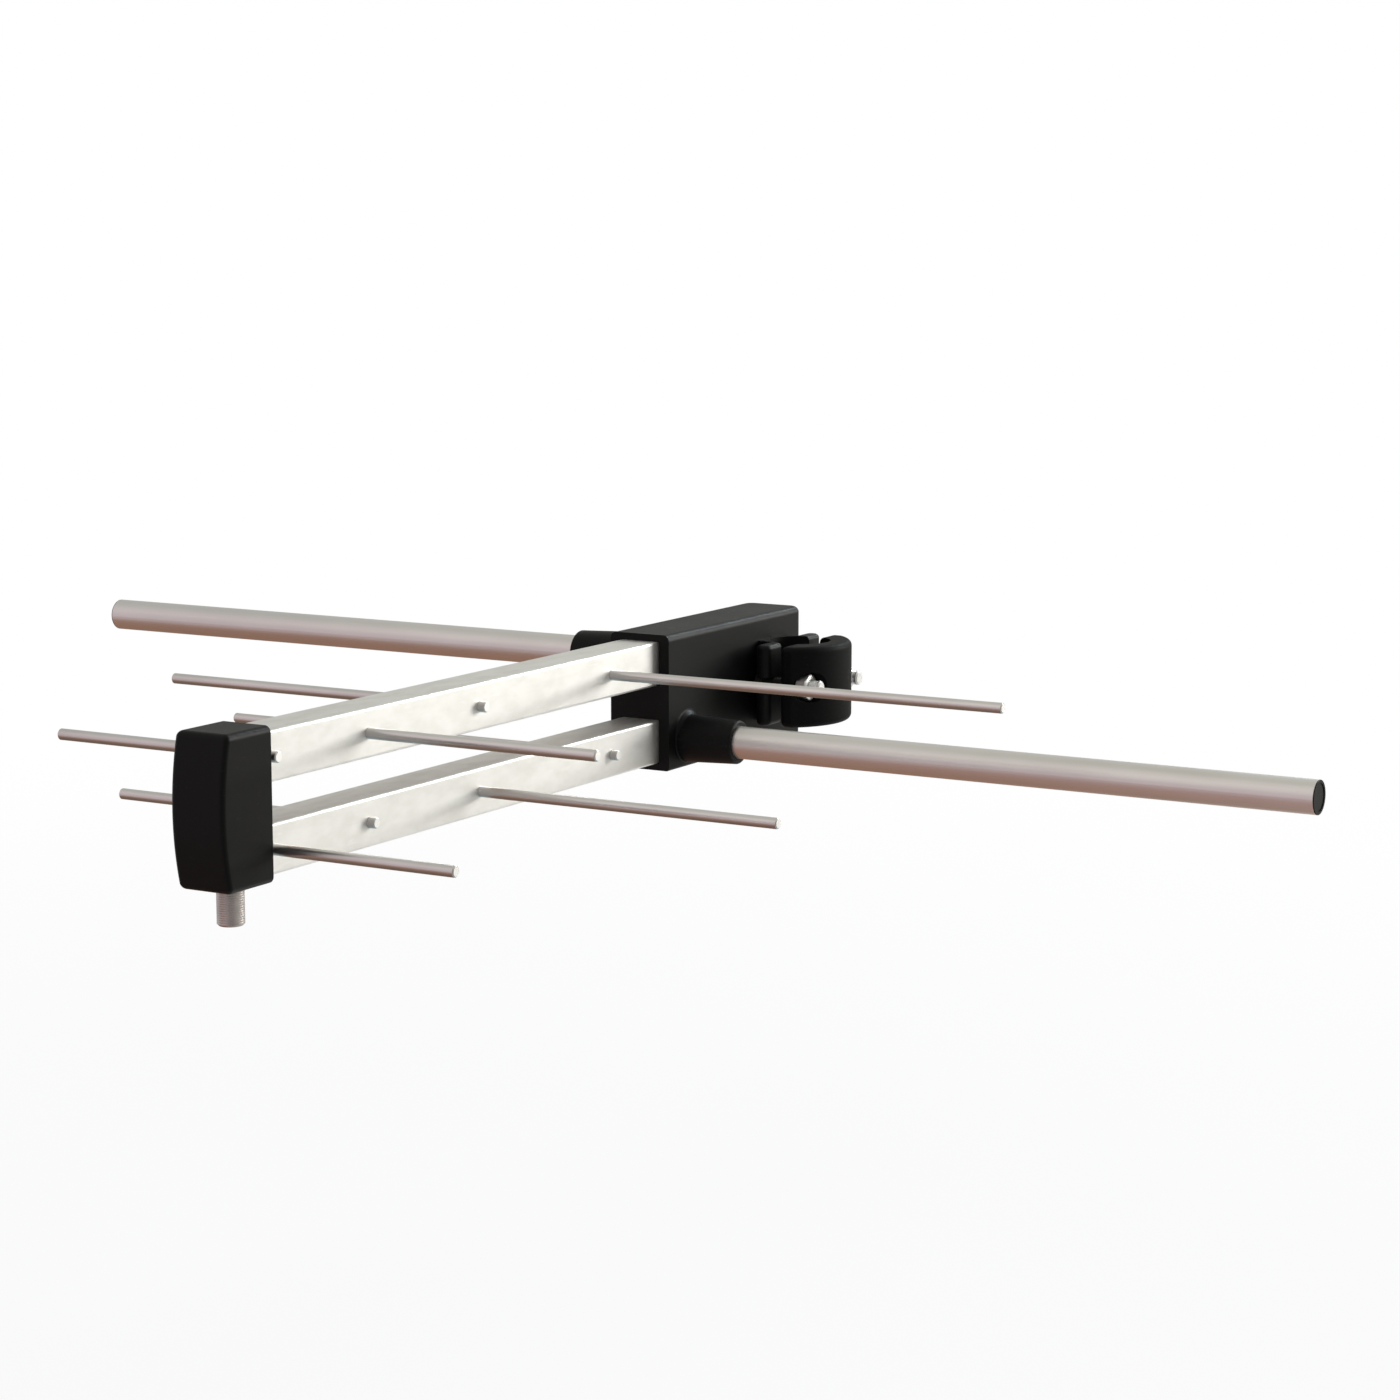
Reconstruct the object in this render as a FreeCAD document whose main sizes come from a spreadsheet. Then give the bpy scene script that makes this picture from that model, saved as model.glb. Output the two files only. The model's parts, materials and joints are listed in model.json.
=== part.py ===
import FreeCAD, Part
import os
import re
import Sketcher
from FreeCAD import Placement, Rotation, Vector

# Log-periodic television antenna with a mast clamp.
# Row frame: origin on the mast's axis at the clamp's mid-height, +X forward along the booms
# to the front cap, +Y towards the right-hand elements, +Z up. Millimetres.

doc = FreeCAD.newDocument("TvAntenna")
sheet = doc.addObject("Spreadsheet::Sheet", "Sizes")

# Driving dimensions: alias, value, meaning
sizes = [
    ("boom_side", 17.5, "outside of a square boom"),
    ("boom_wall", 1.5, "wall of a boom"),
    ("boom_corner", 1.0, "outer corner radius of a boom"),
    ("boom_space", 13.9, "between the two booms"),
    ("boom_clearance", 0.15, "around a boom in the housing and in the cap"),
    ("rod_diameter", 4.0, "thin rod"),
    ("rod_clearance", 0.05, "around a rod in its boom"),
    ("rod_stub", 3.0, "staked end of a rod, proud of the boom"),
    ("rod_chamfer", 0.4, "edge of a rod's tip"),
    ("rod_spacing_1", 54.8, "second pair to the front pair"),
    ("rod_spacing_2", 68.9, "third pair to the second pair"),
    ("rod_spacing_3", 91.5, "fourth pair to the third pair"),
    ("rod_spacing_4", 50.4, "rear tubes to the fourth pair"),
    ("rod_reach_1", 82.2, "booms' plane to a front rod's tip"),
    ("rod_reach_2", 102.0, "booms' plane to a second rod's tip"),
    ("rod_reach_3", 132.7, "booms' plane to a third rod's tip"),
    ("rod_reach_4", 175.3, "booms' plane to a fourth rod's tip"),
    ("tube_diameter", 13.0, "thick rear tube"),
    ("tube_wall", 1.0, "wall of a rear tube"),
    ("tube_clearance", 0.1, "around a tube in its sleeve and its boom"),
    ("tube_station", 69.0, "mast axis to the rear tubes"),
    ("tube_reach", 278.0, "booms' plane to the face of a tube's plug"),
    ("plug_rim", 0.4, "rim of a tube's plug, outside the tube"),
    ("plug_depth", 9.0, "plug inside its tube"),
    ("plug_clearance", 0.1, "around a plug in its tube"),
    ("plug_lip", 1.2, "width of the plug's raised rim"),
    ("plug_dish", 0.3, "depth of the plug's dished face"),
    ("plug_round", 0.2, "rounded edge of the plug's rim"),
    ("sleeve_length", 23.7, "sleeve outside the housing"),
    ("sleeve_root_wall", 3.3, "wall of a sleeve at its root"),
    ("sleeve_mouth_wall", 2.1, "wall of a sleeve at its mouth"),
    ("sleeve_round", 0.8, "rounded edge of a sleeve's mouth"),
    ("screw_diameter", 3.0, "self-tapping screw behind a sleeve"),
    ("screw_length", 5.4, "screw under its head"),
    ("screw_head", 5.6, "screw head's diameter"),
    ("screw_head_height", 2.0, "screw head's height"),
    ("screw_slot", 0.9, "width and depth of the slot in a screw head"),
    ("screw_floor", 1.5, "wall of a sleeve under a screw head"),
    ("screw_clearance", 0.1, "around a screw and its head"),
    ("housing_lip", 5.1, "housing in front of the sleeves"),
    ("housing_back", 28.0, "mast axis to the housing's rear"),
    ("housing_wall", 4.6, "side wall of the housing"),
    ("housing_lid", 2.7, "top and bottom wall of the housing"),
    ("housing_end", 3.5, "rear wall behind the booms"),
    ("housing_round", 2.6, "radius of the upper edges"),
    ("housing_corner", 5.0, "radius of the upright rear edges"),
    ("housing_foot_round", 1.2, "radius of the lower edges"),
    ("core_floor", 2.5, "wall between a boom and the core"),
    ("core_front", 6.0, "web between the booms at the front"),
    ("cap_gap", 1.0, "front rods to the cap's rear edge"),
    ("cap_length", 26.2, "cap along the booms, at its crown"),
    ("cap_bulge", 3.4, "rise of the cap's curved front"),
    ("cap_wall", 2.0, "side, top and bottom wall of the cap"),
    ("cap_front_wall", 2.2, "front wall of the cap at its top edge"),
    ("cap_round", 2.4, "radius of the cap's level front edges and long edges"),
    ("cap_corner", 1.8, "radius of the cap's upright front edges"),
    ("socket_setback", 9.4, "cap's rear edge to the socket's axis"),
    ("socket_diameter", 9.5, "threaded barrel of the socket"),
    ("socket_length", 13.4, "barrel below the cap"),
    ("socket_chamfer", 0.7, "edge of the barrel's mouth"),
    ("socket_shoulder", 0.75, "step from the barrel to the stem"),
    ("socket_wall", 1.55, "wall of the barrel around the insulator"),
    ("stem_proud", 2.0, "stem above the boom's wall"),
    ("stem_clearance", 0.1, "around the stem"),
    ("insulator_recess", 0.8, "insulator behind the barrel's mouth"),
    ("insulator_proud", 1.5, "insulator above the stem"),
    ("insulator_face", 1.0, "insulator in front of the contact"),
    ("pin_diameter", 3.0, "feed pin"),
    ("pin_clearance", 0.05, "around the feed pin"),
    ("pin_tail", 1.6, "feed pin above its nut"),
    ("contact_bore", 1.1, "hole of the centre contact"),
    ("contact_depth", 8.0, "depth of the contact's hole"),
    ("bush_wall", 1.45, "insulating bush around the feed pin"),
    ("bush_lip", 1.5, "flange of the bush beyond its hole"),
    ("bush_flange_height", 1.2, "flange under the boom's top wall"),
    ("feed_nut_flat", 5.5, "across the feed nut's flats"),
    ("feed_nut_height", 2.4, "feed nut's height"),
    ("mast_diameter", 25.0, "mast that the jaws close on"),
    ("jaw_gap", 5.0, "between the jaws on that mast"),
    ("ear_end", 6.4, "bolt's axis to the end of an ear"),
    ("jaw_height", 33.4, "jaws along the mast"),
    ("jaw_round", 3.0, "rounded upright edges of the ears"),
    ("ear_round", 1.8, "rounded ends of the fixed ears, top and bottom"),
    ("fixed_ear", 6.5, "ear of the fixed jaw"),
    ("head_recess", 3.0, "bolt head's pocket in a fixed ear"),
    ("head_fit", 0.2, "around a bolt head in its pocket"),
    ("outer_ear", 6.7, "outer jaw under a nut"),
    ("outer_end", 6.0, "outer jaw at its ends"),
    ("arch_wall", 7.8, "outer jaw over the mast"),
    ("arch_round", 2.6, "rounded ends of the outer jaw, top and bottom"),
    ("bolt_web", 1.2, "between the mast and a bolt hole"),
    ("bolt_diameter", 6.0, "clamp bolt"),
    ("bolt_clearance", 0.3, "around a clamp bolt in the jaws"),
    ("bolt_tail", 4.8, "bolt proud of its nut"),
    ("bolt_flat", 10.0, "across the flats of head and nut"),
    ("head_height", 4.0, "bolt head"),
    ("head_clearance", 1.0, "bolt head to the housing's wall"),
    ("nut_height", 5.0, "clamp nut"),
    ("thread_clearance", 0.05, "between bolt and nut"),
    ("corner_clearance", 0.4, "beside the corners of head and nut"),
]
for row, (alias, number, meaning) in enumerate(sizes, 1):
    sheet.set(f"A{row}", meaning)
    sheet.set(f"B{row}", str(number))
    sheet.setAlias(f"B{row}", alias)
doc.recompute()

aliasPattern = re.compile(r"\b(" + "|".join(alias for alias, number, meaning in sizes) + r")\b")

# Places that several pieces share, worked out from the driving dimensions
boomHalf = "(boom_side / 2)"
boomGapHalf = "(boom_space / 2)"
boomHigh = f"({boomHalf} + {boomGapHalf})"
boomTop = f"({boomHigh} + {boomHalf})"
boomInner = f"({boomHalf} - boom_wall)"
boomReach = f"({boomHalf} + boom_clearance)"
fixedEarBack = "(jaw_gap / 2 + fixed_ear)"
outerEarBack = "(jaw_gap / 2 + outer_ear)"
housingHalf = f"({boomReach} + housing_wall)"
housingTop = f"({boomTop} + boom_clearance + housing_lid)"
wallFace = f"({fixedEarBack} + head_height + head_clearance)"
planeY = f"(-{wallFace} - {housingHalf})"
tubeBore = "(tube_diameter / 2 + tube_clearance)"
sleeveRoot = f"({tubeBore} + sleeve_root_wall)"
sleeveMouth = f"({tubeBore} + sleeve_mouth_wall)"
sleeveReach = f"({housingHalf} + sleeve_length)"
screwSeat = f"({tubeBore} + screw_floor)"
tubeTip = "(tube_reach - plug_rim)"
housingFront = f"(tube_station + {sleeveRoot} + housing_lip)"
rodStation = {4: "(tube_station + rod_spacing_4)"}
for pair in (3, 2, 1):
    rodStation[pair] = f"({rodStation[pair + 1]} + rod_spacing_{pair})"
capRear = f"({rodStation[1]} + rod_diameter / 2 + cap_gap)"
capEdge = f"({capRear} + cap_length - cap_bulge)"
capHalf = f"({boomReach} + cap_wall)"
capTop = f"({boomTop} + boom_clearance + cap_wall)"
boomFront = f"({capEdge} - cap_front_wall - boom_clearance)"
boomRear = "(housing_end + boom_clearance - housing_back)"
socketStation = f"({capRear} + socket_setback)"
socketBore = "(socket_diameter / 2 - socket_wall)"
stemRadius = "(socket_diameter / 2 - socket_shoulder)"
stemTop = f"(stem_proud + boom_wall - {boomTop})"
socketMouth = f"(-{capTop} - socket_length)"
insulatorFoot = f"({socketMouth} + insulator_recess)"
contactFoot = f"({insulatorFoot} + insulator_face)"
pinBore = "(pin_diameter / 2 + pin_clearance)"
bushRadius = f"({pinBore} + bush_wall)"
feedNutSeat = f"({boomGapHalf} + boom_wall)"
boltHole = "(bolt_diameter / 2 + bolt_clearance)"
boltHalf = f"(mast_diameter / 2 + bolt_web + {boltHole})"
jawHalf = f"({boltHalf} + ear_end)"
earSide = f"({boltHalf} - bolt_flat / sqrt(3) - corner_clearance)"
headSeat = f"({fixedEarBack} - head_recess)"
archTop = "(mast_diameter / 2 + arch_wall)"
archRise = f"({archTop} - jaw_gap / 2 - outer_end)"
archRadius = f"(({jawHalf} * {jawHalf} + {archRise} * {archRise}) / (2 * {archRise}))"


def bind(obj, values):
    # Ties properties of an object to formulas of the sheet's cells.
    for name, formula in values.items():
        obj.setExpression(name, aliasPattern.sub(r"Sizes.\1", str(formula)))
    return obj


def place(obj, x, y, z, turn=None):
    if turn:
        obj.Placement = Placement(Vector(0, 0, 0), turn)
    return bind(obj, {"Placement.Base.x": x, "Placement.Base.y": y, "Placement.Base.z": z})


# Turns that lay a primitive's own +Z axis along a row axis
alongX = Rotation(Vector(0, 0, 1), Vector(1, 0, 0))
alongBack = Rotation(Vector(0, 0, 1), Vector(-1, 0, 0))
alongY = Rotation(Vector(0, 0, 1), Vector(0, 1, 0))
alongLeft = Rotation(Vector(0, 0, 1), Vector(0, -1, 0))
# A hexagon on the clamp bolts stands on a corner.
cornerUp = Rotation(Vector(0, 0, 1), 30)


def box(name, x, y, z):
    # x, y and z each give the lower and the upper limit.
    obj = doc.addObject("Part::Box", name)
    spans = zip(("Length", "Width", "Height"), (x, y, z))
    bind(obj, {side: f"({high}) - ({low})" for side, (low, high) in spans})
    return place(obj, x[0], y[0], z[0])


def cylinder(name, radius, height, x, y, z, turn=None):
    obj = doc.addObject("Part::Cylinder", name)
    bind(obj, {"Radius": radius, "Height": height})
    return place(obj, x, y, z, turn)


def cone(name, lower, upper, height, x, y, z, turn=None):
    obj = doc.addObject("Part::Cone", name)
    bind(obj, {"Radius1": lower, "Radius2": upper, "Height": height})
    return place(obj, x, y, z, turn)


def hexagon(name, flat, height, x, y, z, turn=None):
    obj = doc.addObject("Part::Prism", name)
    obj.Polygon = 6
    bind(obj, {"Circumradius": f"{flat} / sqrt(3)", "Height": height})
    return place(obj, x, y, z, turn)


def fuse(name, *shapes):
    obj = doc.addObject("Part::MultiFuse", name)
    obj.Shapes = list(shapes)
    obj.Refine = True
    return obj


def cut(name, base, *tools):
    obj = doc.addObject("Part::Cut", name)
    obj.Base = base
    obj.Tool = tools[0] if len(tools) == 1 else fuse(name + "Tools", *tools)
    obj.Refine = True
    return obj


def common(name, base, tool):
    obj = doc.addObject("Part::Common", name)
    obj.Base = base
    obj.Tool = tool
    obj.Refine = True
    return obj


def group(name, *shapes):
    # Separate solids of identical fasteners that share one node
    obj = doc.addObject("Part::Compound", name)
    obj.Links = list(shapes)
    return obj


def blend(kind, name, base, *tests):
    # Rounds or chamfers edges: each radius has a test that picks the edges of that size.
    doc.recompute()
    bounds = base.Shape.BoundBox
    obj = doc.addObject(kind, name)
    obj.Base = base
    picked = {}
    for radius, wanted in tests:
        found = [i for i, edge in enumerate(base.Shape.Edges, 1) if wanted(edge, bounds)]
        if not found:
            raise RuntimeError(name + " picked no edge")
        picked.update({i: (i, radius, radius) for i in found})
    obj.Edges = list(picked.values())
    return obj


def fillet(name, base, alias, wanted):
    return blend("Part::Fillet", name, base, (sheet.get(alias), wanted))


def chamfer(name, base, alias, wanted):
    return blend("Part::Chamfer", name, base, (sheet.get(alias), wanted))


def runs(edge, axis):
    # True for a straight edge along the given axis.
    if not isinstance(edge.Curve, Part.Line):
        return False
    return abs(edge.Curve.Direction.dot(axis)) > 0.999


def near(a, b):
    return abs(a - b) < 1e-4


xAxis, yAxis, zAxis = Vector(1, 0, 0), Vector(0, 1, 0), Vector(0, 0, 1)
nodes = []


def node(label, obj):
    obj.Label = label
    nodes.append(obj)


def turned(name, outline, x, y, z="0"):
    # A turned piece about a vertical axis: the outline's points are (radius, height) formulas.
    body = doc.addObject("PartDesign::Body", name)
    sketch = body.newObject("Sketcher::SketchObject", name + "Outline")
    plane = next(f for f in body.Origin.OriginFeatures if f.Role == "XZ_Plane")
    sketch.AttachmentSupport = [(plane, "")]
    sketch.MapMode = "FlatFace"
    count = len(outline)
    start = [Vector(4 + (i % 2), i, 0) for i in range(count)]
    for i in range(count):
        sketch.addGeometry(Part.LineSegment(start[i], start[(i + 1) % count]))
    for i in range(count):
        sketch.addConstraint(Sketcher.Constraint("Coincident", i, 2, (i + 1) % count, 1))
    for i, (radius, height) in enumerate(outline):
        if radius == "0":
            sketch.addConstraint(Sketcher.Constraint("PointOnObject", i, 1, -2))
        else:
            place = sketch.addConstraint(Sketcher.Constraint("DistanceX", -1, 1, i, 1, start[i].x))
            bind(sketch, {f"Constraints[{place}]": radius})
        place = sketch.addConstraint(Sketcher.Constraint("DistanceY", -1, 1, i, 1, start[i].y + 0.5))
        bind(sketch, {f"Constraints[{place}]": height})
    turn = body.newObject("PartDesign::Revolution", name + "Turn")
    turn.Profile = sketch
    turn.ReferenceAxis = (sketch, ["V_Axis"])
    turn.Angle = 360.0
    return bind(body, {"Placement.Base.x": x, "Placement.Base.y": y, "Placement.Base.z": z})


# Sides of the booms' plane: the way each element points, with its own turn about Z
sides = {"left": (-1, alongLeft), "right": (1, alongY)}
booms = {"upper": 1, "lower": -1}


def ownerOf(pair, side):
    # The booms take turns: the front pair has its left rod on the upper boom, the next its right one.
    leftIsUpper = pair % 2 == 1
    return "upper" if (side == "left") == leftIsUpper else "lower"


# Booms: square tubes with a hole for each rod, tube and feed piece
def boom(which):
    level = f"({booms[which]} * {boomHigh})"
    name = which.capitalize() + "Boom"
    outside = box(name + "Outside", (boomRear, boomFront),
                  (f"{planeY} - {boomHalf}", f"{planeY} + {boomHalf}"),
                  (f"{level} - {boomHalf}", f"{level} + {boomHalf}"))
    rounded = fillet(name + "Rounded", outside, "boom_corner", lambda e, b: runs(e, xAxis))
    tools = [box(name + "Inside", (f"{boomRear} - boom_wall", f"{boomFront} + boom_wall"),
                 (f"{planeY} - {boomInner}", f"{planeY} + {boomInner}"),
                 (f"{level} - {boomInner}", f"{level} + {boomInner}"))]
    for pair in range(1, 5):
        tools.append(cylinder(f"{name}RodHole{pair}", "rod_diameter / 2 + rod_clearance",
                              "boom_side + 2 * boom_wall", rodStation[pair],
                              f"{planeY} - {boomHalf} - boom_wall", level, alongY))
    sign, turn = sides["left" if which == "upper" else "right"]
    tools.append(cylinder(name + "TubeHole", tubeBore, "boom_side",
                          "tube_station", planeY, level, turn))
    if which == "lower":
        tools.append(cylinder(name + "StemHole", f"{stemRadius} + stem_clearance", "2 * boom_wall",
                              socketStation, planeY, f"-{boomTop} - boom_wall / 2"))
        tools.append(cylinder(name + "BushHole", f"{bushRadius} + pin_clearance", "2 * boom_wall",
                              socketStation, planeY, f"-{boomGapHalf} - 1.5 * boom_wall"))
    else:
        tools.append(cylinder(name + "PinHole", pinBore, "2 * boom_wall",
                              socketStation, planeY, f"{boomGapHalf} - boom_wall / 2"))
    node(which + "_boom", cut(name, rounded, *tools))


# Thin rods: through both walls of their boom, with a short staked stub on the far face
def rod(pair, side):
    sign, turn = sides[side]
    level = f"({booms[ownerOf(pair, side)]} * {boomHigh})"
    name = f"Rod{pair}{side.capitalize()}"
    bar = cylinder(name + "Bar", "rod_diameter / 2", f"rod_reach_{pair} + {boomHalf} + rod_stub",
                   rodStation[pair], f"{planeY} - ({sign}) * ({boomHalf} + rod_stub)", level, turn)
    node(f"rod_{pair}_{side}",
         chamfer(name, bar, "rod_chamfer", lambda e, b: isinstance(e.Curve, Part.Circle)))


# Rear tubes: through the sleeve and one wall of the boom, up against the boom's far wall
def tube(side):
    sign, turn = sides[side]
    level = f"({booms[ownerOf(5, side)]} * {boomHigh})"
    name = "Tube" + side.capitalize()
    start = f"{planeY} - ({sign}) * {boomInner}"
    length = f"{tubeTip} + {boomInner}"
    outside = cylinder(name + "Outside", "tube_diameter / 2", length, "tube_station", start, level, turn)
    inside = cylinder(name + "Inside", "tube_diameter / 2 - tube_wall", length,
                      "tube_station", start, level, turn)
    hole = cylinder(name + "ScrewHole", "screw_diameter / 2 + screw_clearance", "tube_diameter / 2",
                    "tube_station", screwPlace(sign), level, alongBack)
    node("tube_" + side, cut(name, outside, inside, hole))


# Tube plugs: a stopper in each tube's tip, with a rim as wide as the tube and a dished face
def tubePlug(side):
    sign, turn = sides[side]
    level = f"({booms[ownerOf(5, side)]} * {boomHigh})"
    name = "TubePlug" + side.capitalize()

    def at(distance):
        return ("tube_station", f"{planeY} + ({sign}) * ({distance})", level, turn)

    def outerEdge(edge, bounds):
        end = bounds.YMax if sign > 0 else bounds.YMin
        return near(edge.BoundBox.YMin, end) and near(edge.BoundBox.YMax, end)

    rim = cylinder(name + "Rim", "tube_diameter / 2", "plug_rim", *at(tubeTip))
    rim = fillet(name + "RimRounded", rim, "plug_round", outerEdge)
    spigot = cylinder(name + "Spigot", "tube_diameter / 2 - tube_wall - plug_clearance", "plug_depth",
                      *at(f"{tubeTip} - plug_depth"))
    dish = cylinder(name + "Dish", "tube_diameter / 2 - plug_lip", "2 * plug_dish",
                    *at("tube_reach - plug_dish"))
    return cut(name, fuse(name + "Body", rim, spigot), dish)


def screwPlace(sign):
    # Halfway along the free length of a sleeve
    return f"({planeY} + ({sign}) * ({housingHalf} + {sleeveReach}) / 2)"


# Slotted self-tapping screws that enter the sleeves from behind
def tubeScrew(side):
    sign, turn = sides[side]
    level = f"({booms[ownerOf(5, side)]} * {boomHigh})"
    name = "TubeScrew" + side.capitalize()
    side = screwPlace(sign)
    seat = f"(tube_station - {screwSeat})"
    shank = cylinder(name + "Shank", "screw_diameter / 2", "screw_length", seat, side, level, alongX)
    head = cylinder(name + "Head", "screw_head / 2", "screw_head_height", seat, side, level, alongBack)
    top = f"{seat} - screw_head_height"
    slot = box(name + "Slot", (f"{top} - screw_slot", f"{top} + screw_slot"),
               (f"{side} - screw_head", f"{side} + screw_head"),
               (f"{level} - screw_slot / 2", f"{level} + screw_slot / 2"))
    return cut(name, fuse(name + "Body", shank, head), slot)


# Rear housing: one moulding with the boom sockets, two tube sleeves and the fixed mast jaw
def rearHousing():
    shell = box("HousingBlock", ("-housing_back", housingFront),
                (f"{planeY} - {housingHalf}", f"{planeY} + {housingHalf}"),
                (f"-{housingTop}", housingTop))

    def upright(edge, bounds):
        return runs(edge, zAxis) and near(edge.BoundBox.XMax, bounds.XMin)

    def upper(edge, bounds):
        edgeBox = edge.BoundBox
        return near(edgeBox.ZMin, bounds.ZMax) and not near(edgeBox.XMin, bounds.XMax)

    def lower(edge, bounds):
        edgeBox = edge.BoundBox
        return near(edgeBox.ZMax, bounds.ZMin) and not near(edgeBox.XMin, bounds.XMax)

    shell = fillet("HousingCorners", shell, "housing_corner", upright)
    shell = fillet("HousingRounded", shell, "housing_round", upper)
    shell = fillet("HousingFoot", shell, "housing_foot_round", lower)
    solids = [shell]
    tools = [box("HousingCore", ("-housing_back - housing_end", f"{housingFront} - core_front"),
                 (f"{planeY} - {boomHalf}", f"{planeY} + {boomHalf}"),
                 (f"boom_clearance + core_floor - {boomGapHalf}",
                  f"{boomGapHalf} - boom_clearance - core_floor"))]
    for which, way in booms.items():
        level = f"({way} * {boomHigh})"
        tools.append(box(f"HousingSocket{which.capitalize()}",
                         ("housing_end - housing_back", f"{housingFront} + housing_wall"),
                         (f"{planeY} - {boomReach}", f"{planeY} + {boomReach}"),
                         (f"{level} - {boomReach}", f"{level} + {boomReach}")))
    for side, (sign, turn) in sides.items():
        level = f"({booms[ownerOf(5, side)]} * {boomHigh})"
        name = "Sleeve" + side.capitalize()
        root = f"{planeY} + ({sign}) * {boomHalf}"
        sleeve = cone(name, sleeveRoot, sleeveMouth, f"{sleeveReach} - {boomHalf}",
                      "tube_station", root, level, turn)

        def mouth(edge, bounds, sign=sign):
            end = bounds.YMax if sign > 0 else bounds.YMin
            edgeBox = edge.BoundBox
            return near(edgeBox.YMin, end) and near(edgeBox.YMax, end)

        solids.append(fillet(name + "Rounded", sleeve, "sleeve_round", mouth))
        tools.append(cylinder(name + "Bore", tubeBore, f"{sleeveReach} + boom_side",
                              "tube_station", root, level, turn))
        tools.append(cylinder(name + "ScrewHole", "screw_diameter / 2 + screw_clearance", sleeveRoot,
                              "tube_station", screwPlace(sign), level, alongBack))
        tools.append(cylinder(name + "ScrewSeat", "screw_head / 2 + screw_clearance", sleeveRoot,
                              f"tube_station - {screwSeat}", screwPlace(sign), level, alongBack))
    solids.append(fixedJaw())
    node("rear_housing", cut("RearHousing", fuse("HousingSolid", *solids), *tools))


# Fixed jaw: a rib on the housing's wall with two ears, slotted outwards for the bolts,
# and a hexagonal pocket in the back of each ear for a bolt's head
def fixedJaw():
    tall = ("-jaw_height / 2", "jaw_height / 2")
    rib = box("FixedRib", (f"-{earSide}", earSide),
              (f"-{wallFace} - housing_wall / 2", "-jaw_gap / 2"), tall)
    ears = box("FixedEars", (f"-{jawHalf}", jawHalf), (f"-{fixedEarBack}", "-jaw_gap / 2"), tall)
    ears = roundedEars("Fixed", ears, "fixed_ear", "ear_round")
    tools = [mastGroove("Fixed")]
    for end in (-1, 1):
        axis = f"({end}) * {boltHalf}"
        outer = f"({end}) * 2 * {jawHalf}"
        span = (outer, axis) if end < 0 else (axis, outer)
        depth = (f"-{fixedEarBack} - fixed_ear / 2", "0")
        name = "FixedSlotFront" if end > 0 else "FixedSlotRear"
        tools.append(box(name, span, depth, (f"-{boltHole}", boltHole)))
        tools.append(cylinder(name + "End", boltHole, f"{fixedEarBack} + fixed_ear / 2",
                              axis, f"-{fixedEarBack} - fixed_ear / 2", "0", alongY))
        tools.append(hexagon(name + "Pocket", "(bolt_flat + 2 * head_fit)", "head_recess + head_height",
                             axis, f"-{headSeat}", "0", alongLeft * cornerUp))
    return cut("FixedJaw", fuse("FixedJawSolid", rib, ears), *tools)


# Largest share of an ear's thickness that one of its two rounded edges takes
earShare = 0.47


def roundedEars(name, ears, thickness, endRound):
    # Upright edges first, then the end loops at the top and the bottom.
    radius = min(sheet.get("jaw_round"), earShare * sheet.get(thickness))
    ears = blend("Part::Fillet", name + "EarsUpright", ears, (radius, lambda e, b: runs(e, zAxis)))

    def endLoop(edge, bounds):
        edgeBox = edge.BoundBox
        return near(edgeBox.ZMin, bounds.ZMax) or near(edgeBox.ZMax, bounds.ZMin)

    return fillet(name + "EarsRounded", ears, endRound, endLoop)


def mastGroove(name):
    return cylinder(name + "Groove", "mast_diameter / 2", "2 * jaw_height", "0", "0", "-jaw_height")


# Outer jaw: one bowed block over the mast, free to slide on the bolts, with a round pocket
# for each nut
def mastJaw():
    tall = ("-jaw_height / 2", "jaw_height / 2")
    blank = box("OuterBlank", (f"-{jawHalf}", jawHalf), ("jaw_gap / 2", archTop), tall)
    back = cylinder("OuterBack", archRadius, "jaw_height",
                    "0", f"{archTop} - {archRadius}", "-jaw_height / 2")
    bowed = roundedEars("Outer", common("OuterBowed", blank, back), "outer_end", "arch_round")
    tools = [mastGroove("Outer")]
    for end, name in ((1, "OuterHoleFront"), (-1, "OuterHoleRear")):
        axis = f"({end}) * {boltHalf}"
        tools.append(cylinder(name, boltHole, outerEarBack, axis, "0", "0", alongY))
        tools.append(cylinder(name + "Pocket", "bolt_flat / sqrt(3) + corner_clearance", "2 * arch_wall",
                              axis, outerEarBack, "0", alongY))
    node("mast_jaw", cut("MastJaw", bowed, *tools))


# Clamp bolts with their heads in the fixed ears' pockets, and nuts in the outer jaw's
def clampHardware():
    bolts, nuts = [], []
    for end, name in ((1, "Front"), (-1, "Rear")):
        axis = f"({end}) * {boltHalf}"
        length = f"{headSeat} + {outerEarBack} + nut_height + bolt_tail"
        shank = cylinder(f"Bolt{name}Shank", "bolt_diameter / 2", length, axis, f"-{headSeat}", "0", alongY)
        head = hexagon(f"Bolt{name}Head", "bolt_flat", "head_height", axis, f"-{headSeat}", "0",
                       alongLeft * cornerUp)
        bolts.append(fuse("Bolt" + name, shank, head))
        blank = hexagon(f"Nut{name}Blank", "bolt_flat", "nut_height", axis, outerEarBack, "0",
                        alongY * cornerUp)
        bore = cylinder(f"Nut{name}Bore", "bolt_diameter / 2 + thread_clearance", "nut_height",
                        axis, outerEarBack, "0", alongY)
        nuts.append(cut("Nut" + name, blank, bore))
    node("clamp_bolts", group("ClampBolts", *bolts))
    node("clamp_nuts", group("ClampNuts", *nuts))


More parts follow.
